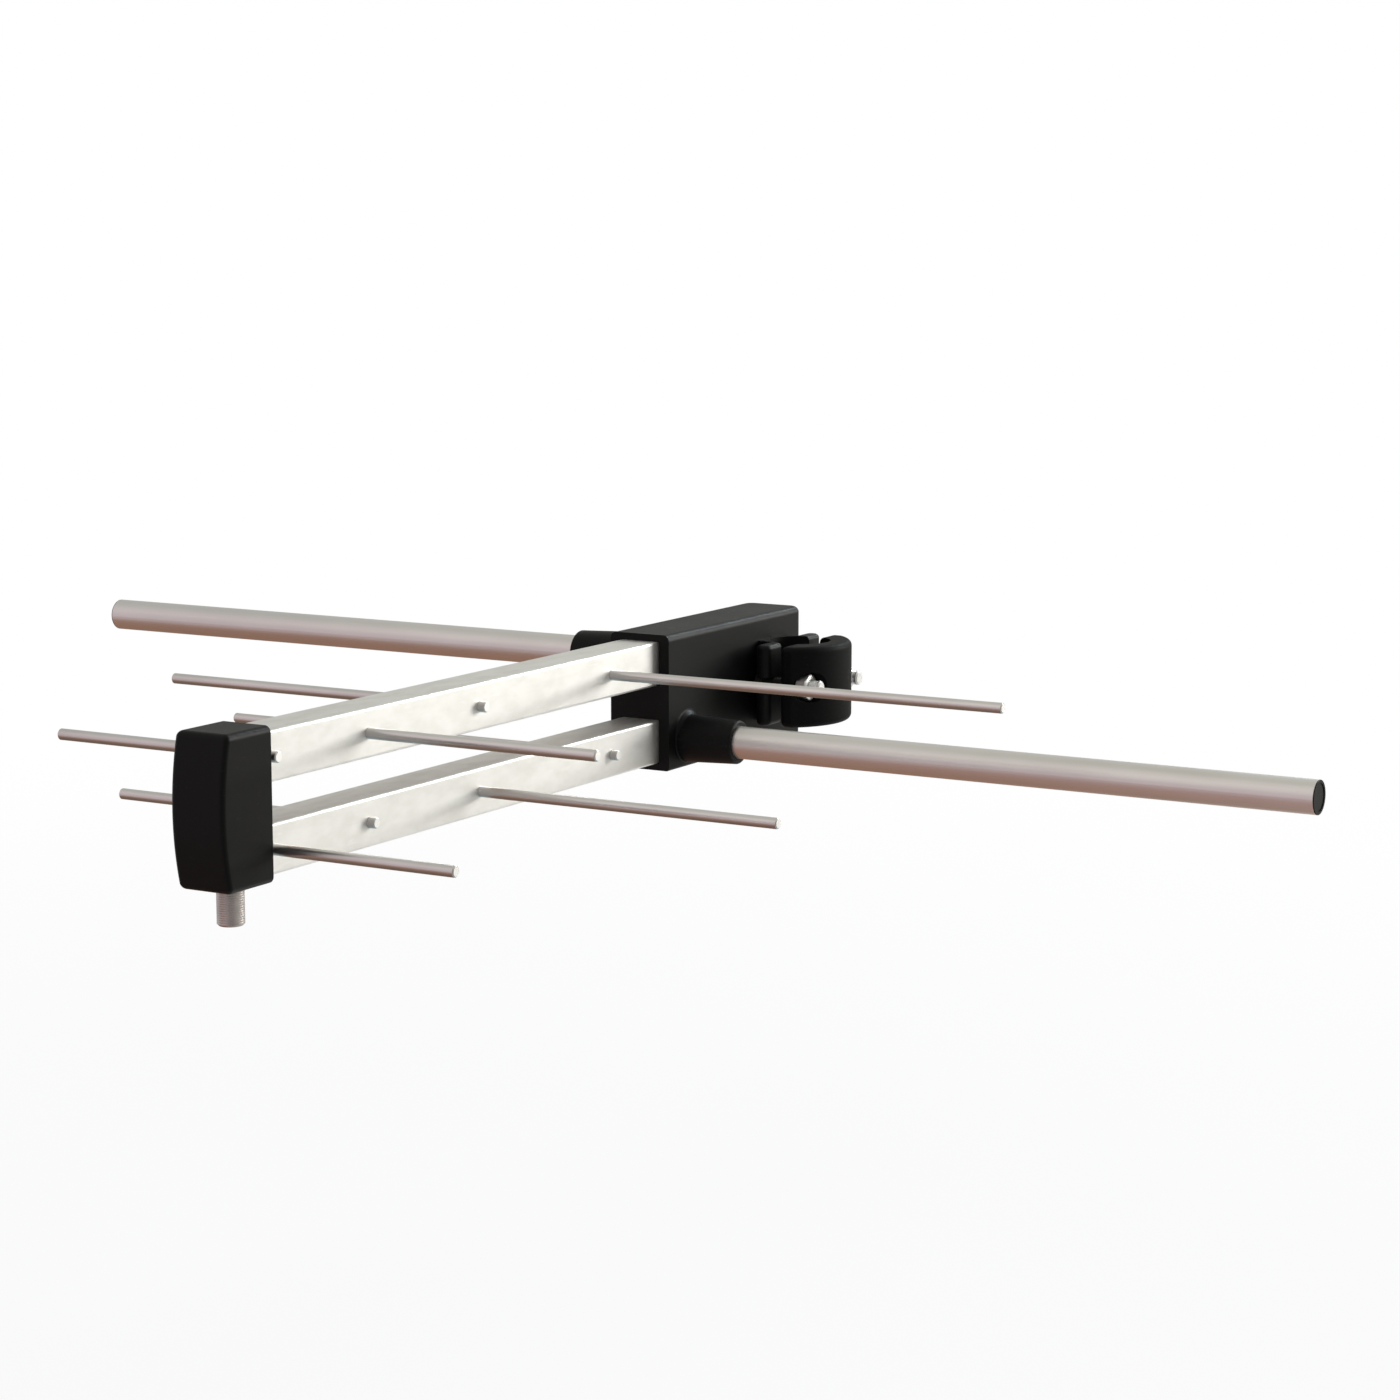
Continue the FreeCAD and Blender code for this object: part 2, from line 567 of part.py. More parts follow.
# Front cap: a shell with a curved front, two boom sockets and a slotted web between them
def frontCap():
    blank = box("CapBlank", (capRear, f"{capRear} + cap_length"),
                (f"{planeY} - {capHalf}", f"{planeY} + {capHalf}"), (f"-{capTop}", capTop))
    # The front is part of a cylinder that rises by the bulge over the cap's height.
    bow = f"(({capTop} * {capTop} + cap_bulge * cap_bulge) / (2 * cap_bulge))"
    front = cylinder("CapFront", bow, f"2 * {capHalf} + 2 * cap_wall",
                     f"{capRear} + cap_length - {bow}", f"{planeY} - {capHalf} - cap_wall", "0", alongY)
    bowed = common("CapBowed", blank, front)

    def frontOrLong(edge, bounds):
        return edge.BoundBox.XMin > bounds.Center.x or runs(edge, xAxis)

    def frontUpright(edge, bounds):
        return edge.BoundBox.XMin > bounds.Center.x and isinstance(edge.Curve, Part.Circle)

    bowed = blend("Part::Fillet", "CapRounded", bowed, (sheet.get("cap_round"), frontOrLong),
                  (sheet.get("cap_corner"), frontUpright))
    tools = []
    for which, way in booms.items():
        level = f"({way} * {boomHigh})"
        tools.append(box(f"CapSocket{which.capitalize()}",
                         (f"{capRear} - cap_wall", f"{boomFront} + boom_clearance"),
                         (f"{planeY} - {boomReach}", f"{planeY} + {boomReach}"),
                         (f"{level} - {boomReach}", f"{level} + {boomReach}")))
    slotHalf = "(pin_diameter / 2 + boom_clearance)"
    tools.append(box("CapPinSlot", (f"{capRear} - cap_wall", f"{socketStation} + {slotHalf}"),
                     (f"{planeY} - {slotHalf}", f"{planeY} + {slotHalf}"),
                     (f"-{boomGapHalf}", boomGapHalf)))
    tools.append(cylinder("CapStemHole", f"{stemRadius} + stem_clearance", "3 * cap_wall",
                          socketStation, planeY, f"-{capTop} - cap_wall"))
    node("front_cap", cut("FrontCap", bowed, *tools))


# Coax socket: a threaded barrel below the cap and a stem screwed into the lower boom
def socketPieces():
    barrel = "socket_diameter / 2"
    node("coax_socket", turned("CoaxSocket", [
        (socketBore, socketMouth), (f"{barrel} - socket_chamfer", socketMouth),
        (barrel, f"{socketMouth} + socket_chamfer"), (barrel, f"-{capTop}"),
        (stemRadius, f"-{capTop}"), (stemRadius, stemTop), (socketBore, stemTop)], socketStation, planeY))
    pin = "pin_diameter / 2"
    entry = "contact_bore / 2"
    insulatorTop = f"{stemTop} + insulator_proud"
    node("socket_insulator", turned("SocketInsulator", [
        (entry, insulatorFoot), (f"{socketBore} - pin_clearance", insulatorFoot),
        (f"{socketBore} - pin_clearance", insulatorTop), (pinBore, insulatorTop),
        (pinBore, contactFoot), (entry, contactFoot)], socketStation, planeY))
    pinTop = f"{feedNutSeat} + feed_nut_height + pin_tail"
    boreEnd = f"{contactFoot} + contact_depth"
    node("feed_pin", turned("FeedPin", [
        (entry, contactFoot), (pin, contactFoot), (pin, pinTop), ("0", pinTop),
        ("0", boreEnd), (entry, boreEnd)], socketStation, planeY))
    underside = f"-{boomGapHalf} - boom_wall"
    flangeFoot = f"{underside} - bush_flange_height"
    flange = f"({bushRadius} + bush_lip)"
    node("feed_bush", turned("FeedBush", [
        (pinBore, flangeFoot), (flange, flangeFoot), (flange, underside),
        (bushRadius, underside), (bushRadius, f"-{boomGapHalf}"),
        (pinBore, f"-{boomGapHalf}")], socketStation, planeY))
    blank = hexagon("FeedNutBlank", "feed_nut_flat", "feed_nut_height",
                    socketStation, planeY, feedNutSeat)
    hole = cylinder("FeedNutBore", pinBore, "feed_nut_height", socketStation, planeY, feedNutSeat)
    node("feed_nut", cut("FeedNut", blank, hole))


for which in booms:
    boom(which)
for pair in range(1, 5):
    for side in sides:
        rod(pair, side)
for side in sides:
    tube(side)
node("tube_plugs", group("TubePlugs", *[tubePlug(side) for side in sides]))
node("tube_screws", group("TubeScrews", *[tubeScrew(side) for side in sides]))
rearHousing()
mastJaw()
clampHardware()
frontCap()
socketPieces()
doc.recompute()

# Nothing is written unless every object is sound.
for obj in doc.Objects:
    if "Invalid" in obj.State or "Error" in obj.State:
        raise RuntimeError("failed object " + obj.Name)
for obj in nodes:
    if obj.Shape.isNull() or not obj.Shape.isValid():
        raise RuntimeError("bad shape " + obj.Label)

os.makedirs("parts", exist_ok=True)
for obj in nodes:
    obj.Shape.exportStep(f"parts/{obj.Label}.step")
    print(f"{obj.Label}: {len(obj.Shape.Solids)} solid(s), {obj.Shape.Volume:.0f} mm3")
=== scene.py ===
import bmesh
import bpy
import json
import numpy as np
from math import pi, radians, sqrt
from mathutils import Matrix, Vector


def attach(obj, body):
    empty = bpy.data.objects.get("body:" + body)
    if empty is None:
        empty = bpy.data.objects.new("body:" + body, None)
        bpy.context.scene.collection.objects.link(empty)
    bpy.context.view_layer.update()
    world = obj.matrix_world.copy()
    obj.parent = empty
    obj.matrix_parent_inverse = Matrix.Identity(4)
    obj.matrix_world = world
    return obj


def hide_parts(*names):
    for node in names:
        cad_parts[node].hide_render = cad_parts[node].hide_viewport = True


# Television antenna on two square booms: finishes for the solids, finer fasteners, socket and sleeve roots.

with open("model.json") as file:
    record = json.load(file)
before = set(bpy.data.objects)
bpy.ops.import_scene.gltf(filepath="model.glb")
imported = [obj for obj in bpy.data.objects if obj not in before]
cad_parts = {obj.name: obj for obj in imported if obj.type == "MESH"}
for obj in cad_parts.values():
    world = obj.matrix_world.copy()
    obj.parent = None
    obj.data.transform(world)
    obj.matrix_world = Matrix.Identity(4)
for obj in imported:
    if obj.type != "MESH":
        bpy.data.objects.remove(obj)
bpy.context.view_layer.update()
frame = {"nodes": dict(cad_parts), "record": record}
nodes = frame["nodes"]
mm = 0.001
print("frame loaded,", len(nodes), "nodes")

scene = bpy.context.scene
scene.view_settings.view_transform = "Standard"


# Shader values

class Wire:  # one socket of a node tree; arithmetic on it adds Math nodes
    def __init__(self, tree, socket=None):
        self.tree = tree
        self.socket = socket

    def node(self, kind, settings=None, links=None, out=0):
        made = self.tree.nodes.new(kind)
        for name, value in (settings or {}).items():
            setattr(made, name, value)
        for name, value in (links or {}).items():
            if isinstance(value, Wire):
                self.tree.links.new(value.socket, made.inputs[name])
            else:
                made.inputs[name].default_value = value
        return Wire(self.tree, made.outputs[out])

    def calc(self, operation, first, second):
        return self.node("ShaderNodeMath", {"operation": operation}, {0: first, 1: second})

    def __add__(self, other):
        return self.calc("ADD", self, other)

    def __radd__(self, other):
        return self.calc("ADD", other, self)

    def __sub__(self, other):
        return self.calc("SUBTRACT", self, other)

    def __rsub__(self, other):
        return self.calc("SUBTRACT", other, self)

    def __mul__(self, other):
        return self.calc("MULTIPLY", self, other)

    def __rmul__(self, other):
        return self.calc("MULTIPLY", other, self)


def ramped(value, low, high):  # smooth step from 0 at low to 1 at high
    return value.node("ShaderNodeMapRange", {"interpolation_type": "SMOOTHSTEP"},
                      {"Value": value, "From Min": low, "From Max": high})


def blended(share, first, second):  # colour between first and second
    pair = [(*c, 1.0) if isinstance(c, tuple) else c for c in (first, second)]
    return share.node("ShaderNodeMix", {"data_type": "RGBA"}, {0: share, 6: pair[0], 7: pair[1]}, out=2)


def noisy(where, scales, detail=2.0, roughness=0.5):  # noise with its own count per metre along each axis
    placed = where.node("ShaderNodeMapping", {}, {"Vector": where, "Scale": scales})
    return where.node("ShaderNodeTexNoise", {}, {"Vector": placed, "Scale": 1.0, "Detail": detail,
                                                 "Roughness": roughness}, out="Fac")


def bumped(height, strength, distance):
    return height.node("ShaderNodeBump", {}, {"Height": height, "Strength": strength, "Distance": distance})


def newFinish(name):
    material = bpy.data.materials.new(name)
    material.use_nodes = True
    shader = material.node_tree.nodes["Principled BSDF"]
    where = Wire(material.node_tree).node("ShaderNodeTexCoord", out="Object")
    return material, shader, where


def feed(shader, values):
    for name, value in values.items():
        if isinstance(value, Wire):
            value.tree.links.new(value.socket, shader.inputs[name])
        else:
            shader.inputs[name].default_value = value


# Metals: drawing lines along one axis, faint blotches and a few scuffs; rods have bright sheared ends
# and painted shade on their undersides, bolts have painted shade from the head to just inside the outer jaw

metalDetail = {  # noise pairs are detail and roughness, ranges run from none to full
    "lineNoise": (3.0, 0.6), "blotchNoise": (3.0, 0.55), "scuffNoise": (2.0, 0.4),
    "blotchRange": (0.3, 0.75), "blotchRough": 0.06, "scuffRange": (0.66, 0.74), "scuffHeight": 0.4,
    "endRange": (0.7, 0.95), "endRough": 0.16, "underRange": (0.1, 0.6),
    # the first range and roughness on the next line set where the bolts' painted shade ends along Y and the
    # roughness added under it
    "unshadedRange": (5.5 * mm, 7.5 * mm), "gapShadeRough": 0.4, "relief": 0.02 * mm,
}


def drawnMetal(name, look, d=metalDetail):
    material, shader, where = newFinish(name)
    lines = noisy(where, look["lines"], *d["lineNoise"])
    blotches = noisy(where, look["blotches"], *d["blotchNoise"])
    scuffs = ramped(noisy(where, look["scuffs"], *d["scuffNoise"]), *d["scuffRange"])
    colour = blended(ramped(blotches, *d["blotchRange"]), look["colour"], look["dull"])
    colour = blended(scuffs * look["scuffed"], colour, look["fresh"])
    rough = look["rough"] + (lines - 0.5) * look["roughSpread"] + blotches * d["blotchRough"]
    if "sheared" in look:
        facing = where.node("ShaderNodeTexCoord", out="Normal")
        across = where.node("ShaderNodeSeparateXYZ", {}, {0: facing}, out="Y")
        upward = where.node("ShaderNodeSeparateXYZ", {}, {0: facing}, out="Z")
        ends = ramped(across * across, *d["endRange"])
        # painted shade: the rods' downward-facing faces are blended towards a darker colour
        colour = blended(ramped(-1.0 * upward, *d["underRange"]), colour, look["paintedUnderShade"])
        colour = blended(ends, colour, look["sheared"])
        rough = rough + ends * d["endRough"]
    # painted shade: the bolts' head and shank are blended to near black up to just inside the outer jaw,
    # with roughness raised there
    if "paintedGapShade" in look:
        along = where.node("ShaderNodeSeparateXYZ", {}, {0: where}, out="Y")
        unshaded = ramped(along, *d["unshadedRange"])
        colour = blended(unshaded, look["paintedGapShade"], colour)
        rough = rough + (1.0 - unshaded) * d["gapShadeRough"]
    feed(shader, {"Base Color": colour, "Metallic": 1.0, "Roughness": rough,
                  "Normal": bumped(lines + scuffs * d["scuffHeight"], look["bump"], d["relief"])})
    return material


boomLook = {
    "colour": (0.93, 0.925, 0.905), "dull": (0.835, 0.83, 0.80), "fresh": (0.97, 0.97, 0.96),
    "lines": (14, 2600, 2600), "blotches": (70, 150, 150), "scuffs": (90, 500, 500),
    "scuffed": 0.35, "rough": 0.46, "roughSpread": 0.12, "bump": 0.20,
}
rodLook = {
    "colour": (0.80, 0.785, 0.775), "dull": (0.73, 0.71, 0.70), "fresh": (0.90, 0.89, 0.88),
    "lines": (3200, 12, 3200), "blotches": (90, 26, 90), "scuffs": (600, 90, 600),
    "scuffed": 0.25, "rough": 0.28, "roughSpread": 0.12, "bump": 0.18,
    # the last colour on the next line is painted shade, laid on the rods' undersides
    "sheared": (0.97, 0.965, 0.95), "paintedUnderShade": (0.46, 0.54, 0.58),
}
tubeLook = {
    "colour": (0.84, 0.825, 0.81), "dull": (0.79, 0.765, 0.75), "fresh": (0.92, 0.915, 0.91),
    "lines": (2600, 10, 2600), "blotches": (60, 18, 60), "scuffs": (420, 60, 420),
    "scuffed": 0.25, "rough": 0.33, "roughSpread": 0.12, "bump": 0.16,
}
zincLook = {
    "colour": (0.86, 0.865, 0.87), "dull": (0.77, 0.77, 0.755), "fresh": (0.93, 0.93, 0.93),
    "lines": (900, 900, 900), "blotches": (350, 350, 350), "scuffs": (1200, 1200, 300),
    "scuffed": 0.5, "rough": 0.40, "roughSpread": 0.10, "bump": 0.10,
}
# the near-black colour is painted shade on the bolts, from the head to just inside the outer jaw
boltLook = {**zincLook, "paintedGapShade": (0.05, 0.047, 0.043)}
nickelLook = {
    "colour": (0.56, 0.52, 0.505), "dull": (0.48, 0.445, 0.43), "fresh": (0.66, 0.64, 0.62),
    "lines": (1800, 1800, 60), "blotches": (260, 260, 260), "scuffs": (900, 900, 900),
    "scuffed": 0.4, "rough": 0.44, "roughSpread": 0.10, "bump": 0.08,
}
brassLook = {
    "colour": (0.80, 0.62, 0.32), "dull": (0.66, 0.48, 0.24), "fresh": (0.88, 0.74, 0.45),
    "lines": (1800, 1800, 60), "blotches": (300, 300, 300), "scuffs": (900, 900, 900),
    "scuffed": 0.4, "rough": 0.28, "roughSpread": 0.10, "bump": 0.08,
}


# Plastics: a fine spark-eroded grain, slow colour drift and a few rub marks

plasticDetail = {  # noise pairs are detail and roughness, ranges run from none to full
    "grainNoise": (2.0, 0.6), "driftNoise": (3.0, 0.5), "rubNoise": (2.0, 0.5), "rubs": (260, 420, 900),
    "driftRange": (0.3, 0.7), "rubRange": (0.62, 0.74),
    "grainRough": 0.16, "driftRough": 0.10, "rubRough": 0.06, "relief": 0.03 * mm,
}


def mouldedPlastic(name, look, d=plasticDetail):
    material, shader, where = newFinish(name)
    grain = noisy(where, (look["grain"],) * 3, *d["grainNoise"])
    drift = noisy(where, (look["drift"],) * 3, *d["driftNoise"])
    rubs = ramped(noisy(where, d["rubs"], *d["rubNoise"]), *d["rubRange"])
    colour = blended(ramped(drift, *d["driftRange"]), look["colour"], look["other"])
    colour = blended(rubs * look["rubbed"], colour, look["pale"])
    rough = look["rough"] + (grain - 0.5) * d["grainRough"] + (drift - 0.5) * d["driftRough"]
    feed(shader, {"Base Color": colour, "Specular IOR Level": look["gloss"],
                  "Roughness": rough - rubs * d["rubRough"],
                  "Normal": bumped(grain, look["bump"], d["relief"])})
    return material


blackLook = {
    "colour": (0.0054, 0.0052, 0.0050), "other": (0.0064, 0.0065, 0.0066), "pale": (0.015, 0.016, 0.017),
    "grain": 5200, "drift": 40, "rubbed": 0.35, "gloss": 0.13, "rough": 0.44, "bump": 0.35,
}
jawLook = {**blackLook, "gloss": 0.05, "rough": 0.50}
whiteLook = {
    "colour": (0.82, 0.81, 0.77), "other": (0.78, 0.77, 0.73), "pale": (0.86, 0.85, 0.82),
    "grain": 4200, "drift": 160, "rubbed": 0.3, "gloss": 0.5, "rough": 0.45, "bump": 0.2,
}

finishes = {
    "boom_aluminium": drawnMetal("boomAluminium", boomLook),
    "rod_aluminium": drawnMetal("rodAluminium", rodLook),
    "tube_aluminium": drawnMetal("tubeAluminium", tubeLook),
    "zinc_steel": drawnMetal("zincSteel", zincLook),
    "nickel_brass": drawnMetal("nickelBrass", nickelLook),
    "contact_brass": drawnMetal("contactBrass", brassLook),
    "black_plastic": mouldedPlastic("blackPlastic", blackLook),
    "white_plastic": mouldedPlastic("whitePlastic", whiteLook),
}
ownFinishes = {  # nodes whose finish differs from their slot's
    "mast_jaw": mouldedPlastic("jawPlastic", jawLook),
    "clamp_bolts": drawnMetal("boltSteel", boltLook),
}
for row in frame["record"]["subparts"]:
    mesh = nodes[row["node"]].data
    mesh.materials.clear()
    mesh.materials.append(ownFinishes.get(row["node"], finishes[row["material_slot"]]))
print("finishes on", len(nodes), "nodes")


# Surfaces on grids

mergeGap = 1e-7


def makePiece(name, grids, slot, body, replaced=(), sharpAngle=32):
    # Each grid is an array [u, v, xyz] in millimetres, with a flag that closes it on itself along v.
    points, quads, start = [], [], 0
    for grid, closed in grids:
        around, along = grid.shape[:2]
        u = np.arange(around)[:, None]
        v = np.arange(along if closed else along - 1)[None, :]
        nextU, nextV = (u + 1) % around, (v + 1) % along
        corners = [u * along + v, nextU * along + v, nextU * along + nextV, u * along + nextV]
        quads.append(start + np.stack(corners, -1).reshape(-1, 4))
        points.append(grid.reshape(-1, 3))
        start += around * along
    mesh = bpy.data.meshes.new(name)
    mesh.from_pydata((np.concatenate(points) * mm).tolist(), [], np.concatenate(quads).tolist())
    shell = bmesh.new()
    shell.from_mesh(mesh)
    bmesh.ops.remove_doubles(shell, verts=shell.verts, dist=mergeGap)
    bmesh.ops.recalc_face_normals(shell, faces=shell.faces)
    shell.to_mesh(mesh)
    shell.free()
    mesh.shade_smooth()
    mesh.set_sharp_from_angle(angle=radians(sharpAngle))
    own = ownFinishes.get(replaced[0]) if replaced else None
    mesh.materials.append(own or finishes[slot])
    piece = bpy.data.objects.new(name, mesh)
    scene.collection.objects.link(piece)
    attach(piece, body)
    if replaced:
        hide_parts(*replaced)
    print(name, len(mesh.polygons), "faces")
    return piece


def angles(count):
    return np.arange(count) * 2 * pi / count


def turned(rings, count):
    # Rings (radius, height), where a radius may be an array over the angle, carried round the local z axis.
    turn = angles(count)
    radius = np.stack([np.broadcast_to(np.asarray(r, float), turn.shape) for r, h in rings], 1)
    height = np.broadcast_to(np.array([h for r, h in rings], float), radius.shape)
    return np.stack([radius * np.cos(turn)[:, None], radius * np.sin(turn)[:, None], height], -1)


def threadRings(count, crest, depth, pitch, low, high, perPitch):
    # The radius falls from the crest by a triangle wave of height and angle, and runs out at both ends.
    turn = angles(count) / (2 * pi)
    heights = np.linspace(low, high, int((high - low) / pitch * perPitch) + 1)
    fade = np.clip((heights - low) / pitch, 0, 1) * np.clip((high - heights) / pitch, 0, 1)
    phase = (heights[None, :] / pitch - turn[:, None]) % 1.0
    radius = crest - depth * np.abs(2 * phase - 1) * fade[None, :]
    return [(radius[:, i], h) for i, h in enumerate(heights)]


def hexRings(count, flat, low, high, lowChamfer, highChamfer, washer=0.95, steps=7):
    # A hexagon's radius over the angle, cut by a 30 degree cone at each chamfered end.
    away = (angles(count) - pi / 2) % (pi / 3) - pi / 6
    hexRadius = flat / 2 / np.cos(away)
    rise = np.linspace(0, (flat / sqrt(3) - washer * flat / 2) / sqrt(3), steps)
    cone = [np.minimum(hexRadius, washer * flat / 2 + d * sqrt(3)) for d in rise]
    rings = [(r, low + d) for r, d in zip(cone, rise)] if lowChamfer else [(hexRadius, low)]
    rings += [(r, high - d) for r, d in zip(cone[::-1], rise[::-1])] if highChamfer else [(hexRadius, high)]
    return rings


def alongY(grid, x, z):
    # Local z becomes the row's +Y, local y its -Z.
    return np.stack([grid[..., 0] + x, grid[..., 2], z - grid[..., 1]], -1)


# Clamp bolts and nuts: chamfered hexagons with real threads

clampSizes = {
    "boltX": (17.0, -17.0), "flat": 10.0, "headLow": -10.0, "headHigh": -6.0, "end": 19.0,
    "crest": 3.0, "depth": 0.42, "pitch": 1.0, "plain": -3.0, "point": 0.6,
    "nutLow": 9.2, "nutHigh": 14.2, "bore": 3.05, "mouth": 3.4, "segments": 72, "perPitch": 8,
}


def clampBolts(s):
    n = s["segments"]
    rings = [(0.0, s["headLow"])] + hexRings(n, s["flat"], s["headLow"], s["headHigh"], True, False)
    rings += [(s["crest"], s["headHigh"]), (s["crest"], s["plain"])]
    rings += threadRings(n, s["crest"], s["depth"], s["pitch"], s["plain"], s["end"] - s["point"],
                         s["perPitch"])
    rings += [(s["crest"] - s["point"], s["end"]), (0.0, s["end"])]
    bolt = turned(rings, n)
    makePiece("clampBoltSet", [(alongY(bolt, x, 0.0), False) for x in s["boltX"]],
              "zinc_steel", "antenna", ["clamp_bolts"])


def clampNuts(s):
    n = s["segments"]
    edge = s["mouth"] - s["bore"]
    rings = hexRings(n, s["flat"], s["nutLow"], s["nutHigh"], True, True)
    rings += [(s["mouth"], s["nutHigh"]), (s["bore"], s["nutHigh"] - edge)]
    rings += [(s["bore"], s["nutLow"] + edge), (s["mouth"], s["nutLow"])]
    nut = turned(rings, n)
    makePiece("clampNutSet", [(alongY(nut, x, 0.0), True) for x in s["boltX"]],
              "zinc_steel", "jaw", ["clamp_nuts"])


clampBolts(clampSizes)
clampNuts(clampSizes)


# Coax socket: fine thread on the barrel, rolled mouth, plain stem inside the cap

socketSizes = {
    "x": 347.0, "y": -27.5, "mouth": -40.0, "cap": -26.6, "stemTop": -20.95,
    "crest": 4.75, "depth": 0.10, "pitch": 0.79, "chamfer": 0.7, "relief": 4.5, "reliefHigh": -27.5,
    "stem": 4.0, "bore": 3.2, "lip": 0.3, "runOut": 0.15, "collarLow": 0.35, "collarHigh": 0.25,
    "segments": 96, "perPitch": 8,
}


def coaxSocket(s):
    n = s["segments"]
    rings = [(s["bore"], s["mouth"] + s["lip"]), (s["bore"] + s["lip"], s["mouth"])]
    rings += [(s["crest"] - s["chamfer"], s["mouth"]), (s["crest"], s["mouth"] + s["chamfer"])]
    rings += threadRings(n, s["crest"], s["depth"], s["pitch"], s["mouth"] + s["chamfer"],
                         s["reliefHigh"], s["perPitch"])
    rings += [(s["relief"], s["reliefHigh"] + s["runOut"]), (s["relief"], s["cap"] - s["collarLow"])]
    rings += [(s["crest"], s["cap"] - s["collarHigh"]), (s["crest"], s["cap"])]
    rings += [(s["stem"], s["cap"]), (s["stem"], s["stemTop"]), (s["bore"], s["stemTop"])]
    grid = turned(rings, n) + np.array([s["x"], s["y"], 0.0])
    makePiece("coaxBarrel", [(grid, True)], "nickel_brass", "antenna", ["coax_socket"])


coaxSocket(socketSizes)


# Sleeve roots: a hollow fillet where each sleeve leaves the housing, wider on the inner side

rootSizes = {
    "x": 69.0, "planeY": -27.5, "wall": 13.5, "sink": 0.4, "narrow": 0.5, "wide": 2.3, "lead": 0.1,
    "sleeve": (8.75, 9.9, 37.2, 8.7), "segments": 96, "steps": 9,
    "sides": {"sleeveRootLeft": (-1, 15.7), "sleeveRootRight": (1, -15.7)},
}


def sleeveRoot(name, s, way, level):
    # A quarter circle from the sleeve to the wall; its radius grows with the angle towards the other sleeve.
    nearOff, nearR, farOff, farR = s["sleeve"]
    turn = angles(s["segments"])
    inward = -np.sign(level) * np.sin(turn)
    share = np.clip((inward + s["lead"]) / (1 + s["lead"]), 0, 1)
    radius = s["narrow"] + (s["wide"] - s["narrow"]) * share * share * (3 - 2 * share)
    swing = np.linspace(0, pi / 2, s["steps"])
    offset = s["wall"] + radius[:, None] * (1 - np.sin(swing))
    sleeve = nearR + (farR - nearR) * (offset - nearOff) / (farOff - nearOff)
    ring = sleeve + radius[:, None] * (1 - np.cos(swing))
    innerOff = np.stack([0 * radius + s["wall"] - s["sink"], s["wall"] + radius], 1)
    inner = np.stack([ring[:, -1], ring[:, 0]], 1) - s["sink"]
    offset, ring = np.concatenate([offset, innerOff], 1), np.concatenate([ring, inner], 1)
    grid = np.stack([s["x"] + ring * np.cos(turn)[:, None], s["planeY"] + way * offset,
                     level + ring * np.sin(turn)[:, None]], -1)
    makePiece(name, [(grid, True)], "black_plastic", "antenna")


for name, (way, level) in rootSizes["sides"].items():
    sleeveRoot(name, rootSizes, way, level)


# Studio: pale floor, white background, a toned surround that only shiny faces see, soft lamps

studio = {
    "floorZ": -0.20, "floorHalf": 8.0, "floorColour": (0.80, 0.80, 0.80),
    "shadowShare": 0.10, "shadowCentre": (0.15, 0.0), "shadowRange": (0.2, 1.3),
    "fill": (0.32, 0.32, 0.33), "left": (0.44, 0.445, 0.445), "right": (0.56, 0.55, 0.51),
    "front": (0.64, 0.49, 0.53), "frontShare": 0.6,
    "highFront": (0.81, 0.755, 0.72), "highBack": (0.57, 0.565, 0.51),
    "dark": (0.29, 0.28, 0.27), "lowLeft": (0.30, 0.175, 0.125), "lowRight": (0.29, 0.12, 0.06),
    "floorGlow": (0.95, 0.945, 0.93), "farLeft": (0.86, 0.86, 0.87),
    # Ranges of a ray's direction over which those colours come in
    "rightSide": (-0.85, 0.45), "frontEnd": (-0.2, 0.7), "highEnd": (-0.1, 0.75),
    "highUp": (0.0, 0.5), "highSide": (-0.75, -0.45), "lowTurn": (-0.62, -0.38),
    "darkEnd": (-0.1, 0.5), "darkSide": (-0.1, 0.4), "lowDown": (0.25, 0.45), "lowSide": (-0.45, -0.1),
    "behindEnd": (0.4, 0.7), "farSide": (0.8, 0.97), "lampAim": (0.16, -0.02, 0.0),
}
lamps = {  # direction from the object, distance, width, height, power, colour, seen in metal
    "windowLamp": ((-0.80, 0.55, 0.26), 2.2, 0.9, 0.9, 23.0, (1.0, 0.985, 0.95), True),
    "overheadLamp": ((0.15, -0.10, 1.0), 1.9, 1.6, 1.6, 10.0, (0.96, 0.98, 1.0), False),
    "rimLamp": ((-0.85, 0.10, 0.50), 2.2, 0.5, 0.5, 10.0, (0.82, 0.92, 1.0), True),
}


def makeFloor(s):
    half = s["floorHalf"]
    mesh = bpy.data.meshes.new("floor")
    corners = [(-half, -half), (half, -half), (half, half), (-half, half)]
    mesh.from_pydata([(x, y, s["floorZ"]) for x, y in corners], [], [(0, 1, 2, 3)])
    material = bpy.data.materials.new("paleFloor")
    material.use_nodes = True
    tree = material.node_tree
    tree.nodes.clear()
    start = Wire(tree)
    place = start.node("ShaderNodeTexCoord", out="Object")
    away = place.node("ShaderNodeVectorMath", {"operation": "DISTANCE"},
                      {0: place, 1: (*s["shadowCentre"], s["floorZ"])}, out="Value")
    seen = start.node("ShaderNodeLightPath", out="Is Camera Ray")
    clear = start.node("ShaderNodeLightPath", out="Is Transmission Ray")
    lift = 1.0 - (1.0 - ramped(away, *s["shadowRange"])) * s["shadowShare"]
    paint = start.node("ShaderNodeBsdfDiffuse", {}, {"Color": (*s["floorColour"], 1.0)})
    glow = start.node("ShaderNodeEmission", {}, {"Color": (1.0, 1.0, 1.0, 1.0), "Strength": 1.0})
    mixed = start.node("ShaderNodeMixShader", {}, {0: (seen + clear) * lift, 1: paint, 2: glow})
    output = tree.nodes.new("ShaderNodeOutputMaterial")
    tree.links.new(mixed.socket, output.inputs["Surface"])
    mesh.materials.append(material)
    floor = bpy.data.objects.new("floor", mesh)
    scene.collection.objects.link(floor)
    floor.visible_glossy = False


